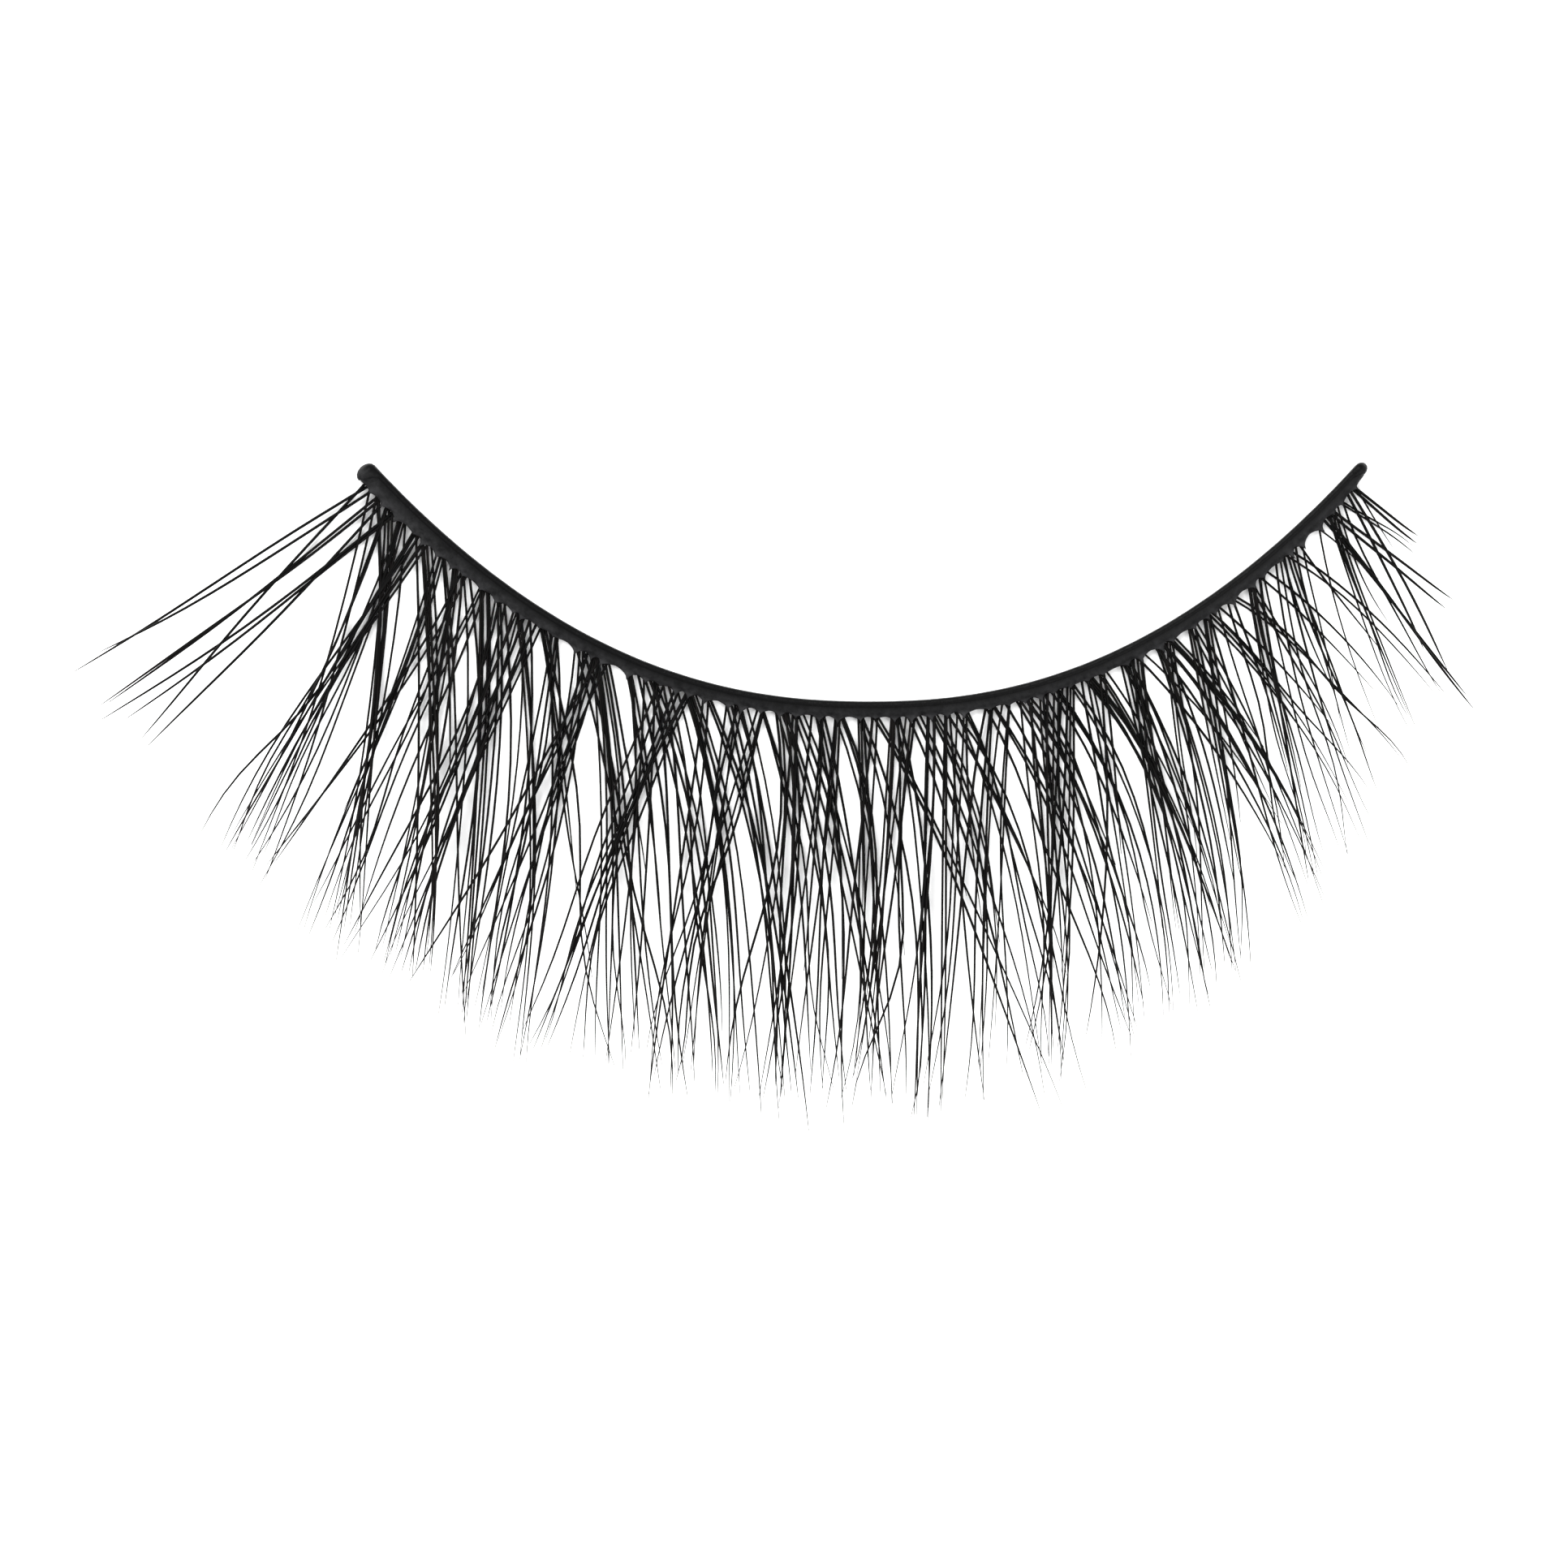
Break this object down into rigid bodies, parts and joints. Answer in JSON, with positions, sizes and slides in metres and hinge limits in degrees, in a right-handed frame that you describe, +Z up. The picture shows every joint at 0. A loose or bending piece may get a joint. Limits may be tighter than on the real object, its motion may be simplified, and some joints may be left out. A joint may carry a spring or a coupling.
{
  "type": "false eyelash strip",
  "caption": "Black strip lash for one eye: a thin bowed band with a bead of glue at each end and a fringe of curled hair locks fanning out from its outer side, lying on its underside.",
  "frame": {"origin": "on the band's flat underside, at the lowest point of its bow; the underside lies on the floor", "axes": "+X from the outer corner of the eye to the inner corner, +Y away from the hair, +Z up off the underside"},
  "size_m": [0.0388, 0.019, 0.0049],
  "materials": {
    "black_glue": "satin black glue over thread",
    "black_hair": "satin black synthetic hair"
  },
  "bodies": {
    "root": {"spine": "black_glue", "fringe": "black_hair"}
  },
  "joints": []
}
